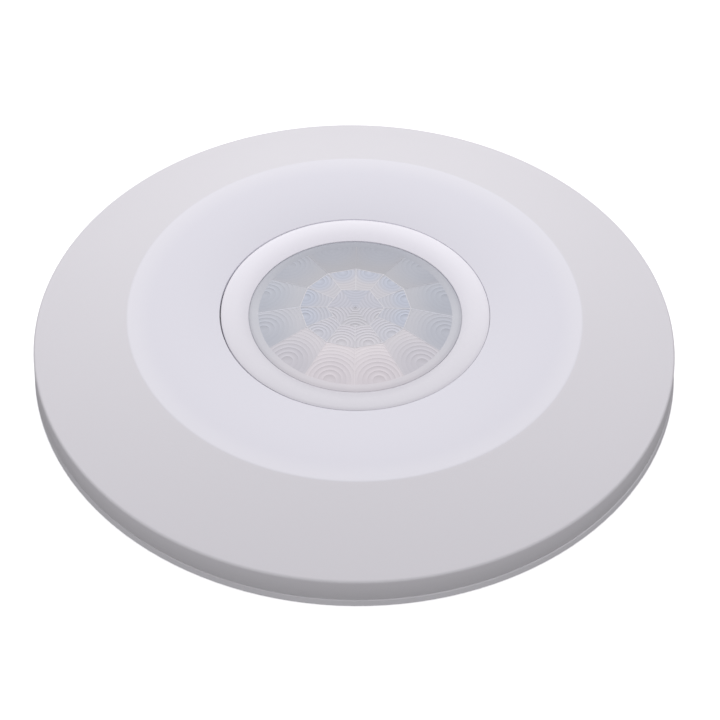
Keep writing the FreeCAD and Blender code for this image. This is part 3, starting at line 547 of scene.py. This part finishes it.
def facet(whole, focus, radii, depth, cuts, slope, pick):
    """Adds one grooved facet: a groove disc cut by upright planes, closed below, then tilted into place."""
    bm = groove_disc(radii, depth)
    bmesh.ops.translate(bm, verts=bm.verts, vec=(*focus, 0.0))
    for point, normal in cuts:
        bmesh.ops.bisect_plane(bm, geom=bm.verts[:] + bm.edges[:] + bm.faces[:], dist=1e-7,
                               plane_co=(*point, 0.0), plane_no=(*normal, 0.0), clear_outer=True)
    crest = bm.verts.layers.float["crest"]
    colour_verts(bm, bm.verts, lambda vert: pick(vert.co.xy - focus, vert[crest]))
    rim = [edge for edge in bm.edges if edge.is_boundary]
    wall = bmesh.ops.extrude_edge_only(bm, edges=rim)["geom"]
    for vert in (item for item in wall if isinstance(item, bmesh.types.BMVert)):
        vert.co.z = -FACET_WALL
    bmesh.ops.remove_doubles(bm, verts=bm.verts, dist=1e-7)
    bmesh.ops.edgeloop_fill(bm, edges=[edge for edge in bm.edges if edge.is_boundary])
    bmesh.ops.recalc_face_normals(bm, faces=bm.faces)
    direction, start, height, fall = slope
    for vert in bm.verts:
        vert.co.z += height - drop(start, fall, vert.co.xy.length, vert.co.xy.dot(direction))
    join(whole, bm)


def drop(start, fall, reach, along):
    """How far a facet has fallen: flat near the crown, and round by its outer end."""
    outward = min(1.0, max(0.0, (reach - start) / (start * 0.85 + 1e-6)))
    return fall * (along - start + (reach - along) * outward)


def ridge(whole, start, end, width, tint):
    """Adds a fine flat ridge, sunk to half its depth, between two points."""
    run = end - start
    turn = run.to_track_quat("X", "Z").to_matrix().to_4x4()
    size = Matrix.Diagonal((run.length, width, width * 0.25, 1.0))
    bar = bmesh.new()
    bmesh.ops.create_cube(bar, size=1.0, matrix=Matrix.Translation((start + end) / 2) @ turn @ size)
    bmesh.ops.bevel(bar, geom=bar.edges[:], offset=width * 0.1, affect="EDGES", segments=1,
                    profile=0.5, material=-1)
    colour_verts(bar, bar.verts, lambda vert: tint)
    join(whole, bar)


def heading(degrees):
    """A flat unit vector in a direction."""
    return Vector((math.cos(math.radians(degrees)), math.sin(math.radians(degrees))))


def ring_radii(first, step, shrink, last):
    """Groove radii from a first disc outwards, each ring a little narrower than the one before."""
    radii = [first]
    while radii[-1] < last:
        radii.append(radii[-1] + step)
        step = max(0.00065, step * shrink)
    return radii


def blend(first, second, share):
    """A colour between two, as a plain tuple."""
    return tuple(a + (b - a) * share for a, b in zip(first, second))


def painted_groove_light(base, groove_light_contrast, offset, crest, least=0.22):
    """Painted highlight at a groove's crest and painted shade at its foot, most of all behind the groove centre.
    """
    behind = max(0.0, offset.y / max(offset.length, 1e-6))
    return shade(base, 1.0 + groove_light_contrast * (least + 0.9 * behind) * (crest - 0.5))


def around(back, side, front, height):
    """A colour that goes from front at -1 through side at 0 to back at 1."""
    return blend(side, back, height) if height > 0 else blend(side, front, (-height) ** 1.6)


class SENSOR_OT_lens(Piece):
    """Build the lens from grooved facets: twelve sloping, twelve in the crown and six in the core"""
    bl_idname = "motion_sensor.lens"
    bl_label = "Lens"

    def make(self, scene):
        s = scene.sensor_lens
        low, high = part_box("fresnel_lens")
        chord = math.cos(math.radians(15))
        top, crown_edge, end = high.z - SPARE_HEIGHT, s.crown_radius * chord, s.facet_end
        crown_top, outer_z = top - CROWN_FALL, s.edge + 0.00022
        fall = (crown_top - outer_z) / (end * chord - crown_edge)
        flat = math.cos(math.radians(30)) * s.core_radius
        whole = bmesh.new()
        whole.verts.layers.float_color.new("tint")
        for step in range(FACETS):
            middle = 15 + 30 * step
            way = heading(middle)
            sides = [((0, 0), heading(middle + 105)), ((0, 0), heading(middle - 105))]
            ends = [(heading(middle + turn) * end, heading(middle + turn)) for turn in (-12, -6, 0, 6, 12)]
            # Each facet's tint is painted light and shade by its direction.
            facet(whole, way * s.slope_focus, ring_radii(0.0016, 0.00135, 0.93, 0.016), s.groove,
                  sides + ends + [(way * crown_edge, -way)], (way, crown_edge, crown_top, fall),
                  self.tint(s, way.y, "slope", 0.004, 0.009, 0.22))
            core_way = heading(30 + 60 * (step // 2))
            facet(whole, way * s.crown_focus, ring_radii(0.0014, 0.00095, 0.97, 0.012), s.groove,
                  sides + [(way * crown_edge, way), (core_way * flat, -core_way)],
                  (way, flat, top - 0.00001, 0.00011 / (s.crown_radius - flat)),
                  self.tint(s, way.y, "crown", 0.002, 0.0042, 0.5))
        for step in range(FACETS // 2):
            middle = 30 + 60 * step
            way = heading(middle)
            facet(whole, way * s.core_focus, ring_radii(0.0022, 0.0009, 0.97, 0.008), s.groove,
                  [((0, 0), heading(middle + 120)), ((0, 0), heading(middle - 120)), (way * flat, way)],
                  (way, 0.0, top, 0.0), self.core_tint(s, way.y))
        self.ridges(whole, s, top, crown_top, fall, flat)
        shell = bmesh.new()
        spin(shell, FACETS, [
            (0.0, top - 0.0003), (s.crown_radius, crown_top - 0.0003), (end, outer_z - 0.0003),
            (end, outer_z - 0.0008), (s.crown_radius, crown_top - 0.0008), (0.0, top - 0.0008)])
        join(whole, shell)
        band, inside = bmesh.new(), s.radius - 0.0030
        spin(band, 192, [
            (high.x, low.z), (high.x, s.edge - s.seam), (s.radius - s.seam, s.edge - s.seam),
            (s.radius - s.seam, s.edge), (s.radius - 0.0006, s.edge + 0.00013),
            (s.radius - 0.0012, s.edge + 0.00022), (inside, s.edge + 0.0002),
            (inside, low.z), (high.x, low.z)])
        # Painted shade: the band is painted darker at the back, where the ring's lip shades it, and lighter at
        # the front.
        colour_verts(band, band.verts, lambda vert: around(
            shade(s.slope_near_back, 0.98), s.slope_far_side, blend(s.slope_near_front, s.slope_far_side, 0.3),
            vert.co.y / vert.co.xy.length))
        join(whole, band)
        pip = bmesh.new()
        bmesh.ops.create_cone(pip, cap_ends=True, segments=24, radius1=0.00042, radius2=0.00034,
                              depth=0.0001, matrix=Matrix.Translation((0, 0, top - 0.00002)))
        colour_verts(pip, pip.verts, lambda vert: shade(s.core, 0.7))
        join(whole, pip)
        finished("lens_facets", whole, lens_plastic(s), "fresnel_lens", 25.0)

    def core_tint(self, s, height):
        """Colour of a core facet's points: painted shade makes the back bluer, and painted highlights mark the
        grooves well.
        """
        base = around(s.core_back, s.core, s.core_front, height)
        return lambda offset, crest: painted_groove_light(base, s.groove_light_contrast * 1.5, offset, crest, 0.6)

    def tint(self, s, height, row, near, far, least):
        """Colour of a facet's points by their distance from the groove centre and by how high they lie, with
        painted shade at the back, painted light at the front and painted highlights on the groove crests.
        """
        ends = [around(*(getattr(s, f"{row}_{end}_{side}") for side in ("back", "side", "front")), height)
                for end in ("near", "far")]

        def pick(offset, crest):
            share = min(1.0, max(0.0, (offset.length - near) / (far - near)))
            contrast = s.groove_light_contrast * (1.5 if row == "crown" else 1.25 - 0.8 * share)
            return painted_groove_light(blend(*ends, share), contrast, offset, crest, least)
        return pick

    def ridges(self, whole, s, top, crown_top, fall, flat):
        """Fine ridges along the facets' shared edges, with painted highlights that are strongest on the sideways
        ridges.
        """
        width, chord = 0.0002, math.cos(math.radians(15))
        start = s.crown_radius * chord
        for step in range(FACETS):
            this, after = heading(30 * step), heading(30 * step + 30)
            local = around(s.slope_far_back, s.slope_far_side, s.slope_far_front, this.y)
            # Painted highlight: the ridge is painted lighter than its facets, more so at the back and where it
            # runs sideways.
            tint = shade(local, 1.06 + 0.08 * this.y + 0.3 * (1 - abs(this.y)) ** 3)
            reaches = [s.crown_radius + (s.facet_end - s.crown_radius) * part / 4 for part in range(5)]
            points = [Vector((*(this * reach), crown_top - drop(start, fall, reach, reach * chord)))
                      for reach in reaches]
            for near, far in zip(points, points[1:]):
                ridge(whole, near, far, width, tint)
            corner = Vector((*(after * s.crown_radius), crown_top))
            ridge(whole, Vector((*(this * s.crown_radius), crown_top)), corner, width, s.ridge)
            core = Vector((*(this * (s.core_radius if step % 2 == 0 else flat)), top - 0.00002))
            ridge(whole, core, Vector((*(this * s.crown_radius), crown_top)), width, s.ridge)
            if step % 2 == 0:
                core_next = Vector((*(heading(30 * step + 60) * s.core_radius), top - 0.00002))
                ridge(whole, core, core_next, width, s.ridge)


def slot_finish(slot, node):
    """The finish of a material slot, made once and shared by the nodes that have it."""
    if slot not in FINISHES:
        base, (low, high) = COLOURS[slot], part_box(node)
        if slot in METALS:
            FINISHES[slot] = plated(slot, base, **METALS[slot])
        elif slot in RESINS:
            FINISHES[slot] = resin(slot, base, RESINS[slot])
        elif slot == "board_laminate":
            FINISHES[slot] = laminate(slot, base)
        elif slot == "copper_winding":
            FINISHES[slot] = winding(slot, base)
        elif slot == "resistor_ceramic":
            FINISHES[slot] = banded(slot, base, low.x, high.x)
        else:
            FINISHES[slot] = moulded(slot, base, **PLASTICS.get(slot, {}))
    return FINISHES[slot]


FINISHES = {}
METALS = {
    "screw_steel": {"roughness": 0.34, "scale": 1800.0},
    "detector_steel": {"roughness": 0.2, "stretch": (1.0, 1.0, 0.06)},
    "lead_metal": {"roughness": 0.3},
    "soft_iron": {"roughness": 0.38, "stretch": (1.0, 0.1, 1.0)},
    "contact_brass": {"roughness": 0.27, "stretch": (0.15, 1.0, 1.0)},
}
RESINS = {"infrared_filter": 0.9, "clear_resin": 0.8, "red_resin": 0.8, "varistor_coating": 0.7,
          "capacitor_sleeve": 0.5}
PLASTICS = {
    "plate_plastic": {"roughness": 0.5, "grain": 0.0005, "variation": 0.015},
    "housing_plastic": {"roughness": 0.48, "grain": 0.00045, "variation": 0.015},
    "knob_plastic": {"roughness": 0.38, "grain": 0.0003, "depth": 0.000008, "variation": 0.02},
    "trimmer_plastic": {"roughness": 0.45, "variation": 0.08},
    "terminal_plastic": {"roughness": 0.42, "variation": 0.03},
    "grommet_rubber": {"roughness": 0.78, "grain": 0.0006, "depth": 0.00003, "variation": 0.15},
    "capacitor_box": {"roughness": 0.35, "variation": 0.03},
    "black_resin": {"roughness": 0.6, "grain": 0.00012, "depth": 0.00001, "variation": 0.15},
    "chip_ceramic": {"roughness": 0.5, "grain": 0.0002, "variation": 0.1},
}


def fit_out(**bevels):
    """Gives each named node its finish and slightly rounded edges."""
    for node, bevel in bevels.items():
        softened(node, slot_finish(SLOTS[node], node), bevel * MM)


def add_piece(name, bm, node, slot, body):
    """A new piece that is part of a node's moulding and rides with its body."""
    piece = modelled(name, bm, slot_finish(slot, node))
    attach(piece, body)


def add_bar(bm, place, turn, size, bevel):
    """Adds a small round-edged bar, turned about the Z axis."""
    made = bmesh.ops.create_cube(bm, size=1.0, matrix=(
        Matrix.Translation(place) @ Matrix.Rotation(turn, 4, "Z") @ Matrix.Diagonal((*size, 1.0))))
    edges = list({edge for vert in made["verts"] for edge in vert.link_edges})
    bmesh.ops.bevel(bm, geom=edges, offset=bevel, affect="EDGES", segments=2, profile=0.5, material=-1)


class SENSOR_OT_plate(Piece):
    """Finish the back plate and the cable grommet, and add the plate's moulding marks"""
    bl_idname = "motion_sensor.plate"
    bl_label = "Back plate"

    def make(self, scene):
        softened("base_plate", slot_finish("plate_plastic", "base_plate"), 0.0002, reshape=self.taper)
        fit_out(cable_grommet=0.25)
        bm = bmesh.new()
        for step in range(12):
            way = heading(15 + 30 * step) * 0.0675
            made = bmesh.ops.create_cone(bm, cap_ends=True, segments=32, radius1=0.0022, radius2=0.0021,
                                         depth=0.0002, matrix=Matrix.Translation((*way, 0.00185)))
            top = [face for face in {face for vert in made["verts"] for face in vert.link_faces}
                   if face.normal.z > 0.9]
            bmesh.ops.inset_region(bm, faces=top, thickness=0.0003, depth=-0.00008)
        add_piece("plate_ejector_marks", bm, "base_plate", "plate_plastic", "chassis")

    def taper(self, bm):
        """Draws in the top of the plate's outer wall, which leaves a fine shadow line under the cover."""
        for vert in bm.verts:
            if vert.co.xy.length > 0.0795 and vert.co.z > 0.0005:
                vert.co.xy *= 1 - 0.0003 / vert.co.xy.length


class SENSOR_OT_housing(Piece):
    """Finish the housing and its screws, and add raised scale marks round each knob"""
    bl_idname = "motion_sensor.housing"
    bl_label = "Housing"

    def make(self, scene):
        fit_out(sensor_housing=0.25, housing_screws=0.12)
        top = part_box("lens_bezel")[0].z
        bm = bmesh.new()
        for node in ("time_knob", "lux_knob", "sens_knob"):
            low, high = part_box(node)
            middle = (low + high) / 2
            outward = math.atan2(middle.y, middle.x)
            for step in range(-3, 4):
                turn = outward + math.pi + step * math.radians(45)
                reach = 0.0053 if step % 3 else 0.0055
                place = (middle.x + math.cos(turn) * reach, middle.y + math.sin(turn) * reach, top + 0.00004)
                add_bar(bm, place, turn, (0.0011 if step % 3 else 0.0016, 0.00035, 0.0002), 0.00005)
        add_piece("scale_marks", bm, "sensor_housing", "housing_plastic", "chassis")


class SENSOR_OT_settings(Piece):
    """Finish the three setting knobs and their trimmers"""
    bl_idname = "motion_sensor.settings"
    bl_label = "Setting knobs"

    def make(self, scene):
        fit_out(time_trimmer=0.25, lux_trimmer=0.25, sens_trimmer=0.25,
                time_knob=0.15, lux_knob=0.15, sens_knob=0.15)


class SENSOR_OT_board(Piece):
    """Finish the circuit board, the detector, the lamp and the light sensor"""
    bl_idname = "motion_sensor.board"
    bl_label = "Circuit board"

    def make(self, scene):
        fit_out(main_board=0.1, pir_holder=0.2, pir_header=0.1, pir_can=0.2, pir_window=0.05, pir_leads=0.0,
                light_sensor=0.0, indicator_led=0.0)


class SENSOR_OT_supply(Piece):
    """Finish the supply and signal parts, and give the chips their legs"""
    bl_idname = "motion_sensor.supply"
    bl_label = "Supply and signal parts"

    def make(self, scene):
        fit_out(suppression_capacitor=0.3, smoothing_capacitor=0.3, varistor=0.2, fuse=0.2, bridge_rectifier=0.2,
                dropper_resistor=0.2, controller_chip=0.12, amplifier_chip=0.12, voltage_regulator=0.1,
                chip_components=0.05)
        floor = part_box("main_board")[1].z
        bm = bmesh.new()
        for node, count in (("controller_chip", 8), ("amplifier_chip", 4)):
            low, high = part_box(node)
            for index in range(count):
                x = low.x + (high.x - low.x) * (index + 0.5) / count
                for edge, side in ((low.y, -1), (high.y, 1)):
                    add_bar(bm, (x, edge + side * 0.0003, (floor + high.z) / 2), 0.0,
                            (0.0004, 0.0006, 0.00015), 0.00003)
                    add_bar(bm, (x, edge + side * 0.0006, (floor + (floor + high.z) / 2) / 2), 0.0,
                            (0.0004, 0.00015, (high.z - floor) / 2), 0.00003)
                    add_bar(bm, (x, edge + side * 0.0009, floor + 0.0001), 0.0,
                            (0.0004, 0.0007, 0.00015), 0.00003)
        add_piece("chip_legs", bm, "controller_chip", "lead_metal", "chassis")


class SENSOR_OT_relay(Piece):
    """Finish the relay and its armature"""
    bl_idname = "motion_sensor.relay"
    bl_label = "Relay"

    def make(self, scene):
        fit_out(relay_base=0.2, relay_case=0.3, relay_coil=0.0, relay_yoke=0.1, relay_armature=0.08,
                relay_contacts=0.05)


class SENSOR_OT_terminals(Piece):
    """Finish the terminal block with its cages and screws"""
    bl_idname = "motion_sensor.terminals"
    bl_label = "Terminals"

    def make(self, scene):
        fit_out(terminal_block=0.2, terminal_cages=0.12, terminal_screws=0.08)


class SENSOR_OT_studio(Piece):
    """Lay the floor and set the lights, the world and the camera"""
    bl_idname = "motion_sensor.studio"
    bl_label = "Studio"

    def make(self, scene):
        s = scene.sensor_studio
        scene.view_settings.view_transform = "Standard"
        low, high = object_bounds()
        bm = bmesh.new()
        bmesh.ops.create_grid(bm, x_segments=1, y_segments=1, size=4.0,
                              matrix=Matrix.Translation((0, 0, low.z - 0.0001)))
        mesh = bpy.data.meshes.new("floor")
        bm.to_mesh(mesh)
        bm.free()
        floor = bpy.data.objects.new("floor", mesh)
        scene.collection.objects.link(floor)
        finish = Finish("floor_paper", Roughness=0.9)
        pale = tuple(s.floor_colour)
        finish.paint(Base_Color=finish.mix(finish.noise(3.0, 2.0), pale, shade(pale, 0.99)),
                     Emission_Color=(1.0, 1.0, 1.0, 1.0), Emission_Strength=0.55)
        finish.emboss(finish.noise(900.0), 0.00001)
        mesh.materials.append(finish.material)
        floor.visible_diffuse = floor.visible_glossy = False
        floor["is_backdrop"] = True
        self.world(scene, s)
        self.panel(scene, "back_panel", (-0.02, 0.46, 0.37), 0.4, s.back_power)
        self.camera(scene, s)

    def world(self, scene, s):
        """Even sky above the horizon, dark below it."""
        world = bpy.data.worlds.new("studio")
        scene.world = world
        world.use_nodes = True
        tree = world.node_tree
        back = tree.nodes["Background"]
        place = tree.nodes.new("ShaderNodeTexCoord")
        split = tree.nodes.new("ShaderNodeSeparateXYZ")
        ramp = tree.nodes.new("ShaderNodeValToRGB")
        ramp.color_ramp.elements[0].position, ramp.color_ramp.elements[0].color = 0.0, (0.19, 0.19, 0.19, 1)
        ramp.color_ramp.elements[1].position, ramp.color_ramp.elements[1].color = 0.06, (1.0, 0.99, 1.03, 1)
        tree.links.new(place.outputs["Generated"], split.inputs[0])
        tree.links.new(split.outputs["Z"], ramp.inputs["Fac"])
        tree.links.new(ramp.outputs["Color"], back.inputs["Color"])
        back.inputs["Strength"].default_value = s.sky

    def panel(self, scene, name, place, size, power):
        """A soft square light aimed at the sensor."""
        light = bpy.data.lights.new(name, "AREA")
        light.shape, light.size, light.energy = "SQUARE", size, power
        holder = bpy.data.objects.new(name, light)
        holder.location = place
        holder.rotation_euler = (-Vector(place)).to_track_quat("-Z", "Y").to_euler()
        scene.collection.objects.link(holder)

    def camera(self, scene, s):
        """A long lens from the cable side, a little rolled."""
        data = bpy.data.cameras.new("camera")
        data.sensor_width, data.lens = 36.0, s.camera_lens
        data.shift_x, data.shift_y = s.shift_x, s.shift_y
        data.clip_start, data.clip_end = 0.01, 20.0
        camera = bpy.data.objects.new("camera", data)
        aim = Vector((0, 0, scene.sensor_cover.rim_top))
        offset = Vector((0, -math.cos(s.camera_lift), math.sin(s.camera_lift)))
        turn = (-offset).to_track_quat("-Z", "Y").to_matrix().to_4x4()
        roll = Matrix.Rotation(s.camera_roll, 4, "Z")
        camera.matrix_world = Matrix.Translation(aim + offset * s.camera_distance) @ turn @ roll
        scene.collection.objects.link(camera)
        scene.camera = camera


class SENSOR_PT_panel(bpy.types.Panel):
    """Buttons for the sensor's pieces."""
    bl_idname = "SENSOR_PT_panel"
    bl_label = "Motion sensor"
    bl_space_type = "VIEW_3D"
    bl_region_type = "UI"
    bl_category = "Motion sensor"

    def draw(self, context):
        for operator in OPERATORS:
            self.layout.operator(operator.bl_idname)


OPERATORS = (
    SENSOR_OT_studio, SENSOR_OT_cover, SENSOR_OT_ring, SENSOR_OT_lens, SENSOR_OT_plate, SENSOR_OT_housing,
    SENSOR_OT_settings, SENSOR_OT_board, SENSOR_OT_supply, SENSOR_OT_relay, SENSOR_OT_terminals)
GROUPS = {"sensor_cover": CoverSettings, "sensor_lens": LensSettings, "sensor_studio": StudioSettings}
CLASSES = (*GROUPS.values(), *OPERATORS, SENSOR_PT_panel)


def register():
    for item in CLASSES:
        bpy.utils.register_class(item)
    for name, group in GROUPS.items():
        setattr(bpy.types.Scene, name, bpy.props.PointerProperty(type=group))


def unregister():
    for name in GROUPS:
        delattr(bpy.types.Scene, name)
    for item in reversed(CLASSES):
        bpy.utils.unregister_class(item)


def main():
    register()
    bpy.ops.motion_sensor.studio()
    bpy.ops.motion_sensor.cover()
    bpy.ops.motion_sensor.ring()
    bpy.ops.motion_sensor.lens()
    bpy.ops.motion_sensor.plate()
    bpy.ops.motion_sensor.housing()
    bpy.ops.motion_sensor.settings()
    bpy.ops.motion_sensor.board()
    bpy.ops.motion_sensor.supply()
    bpy.ops.motion_sensor.relay()
    bpy.ops.motion_sensor.terminals()


if __name__ == "__main__":
    main()
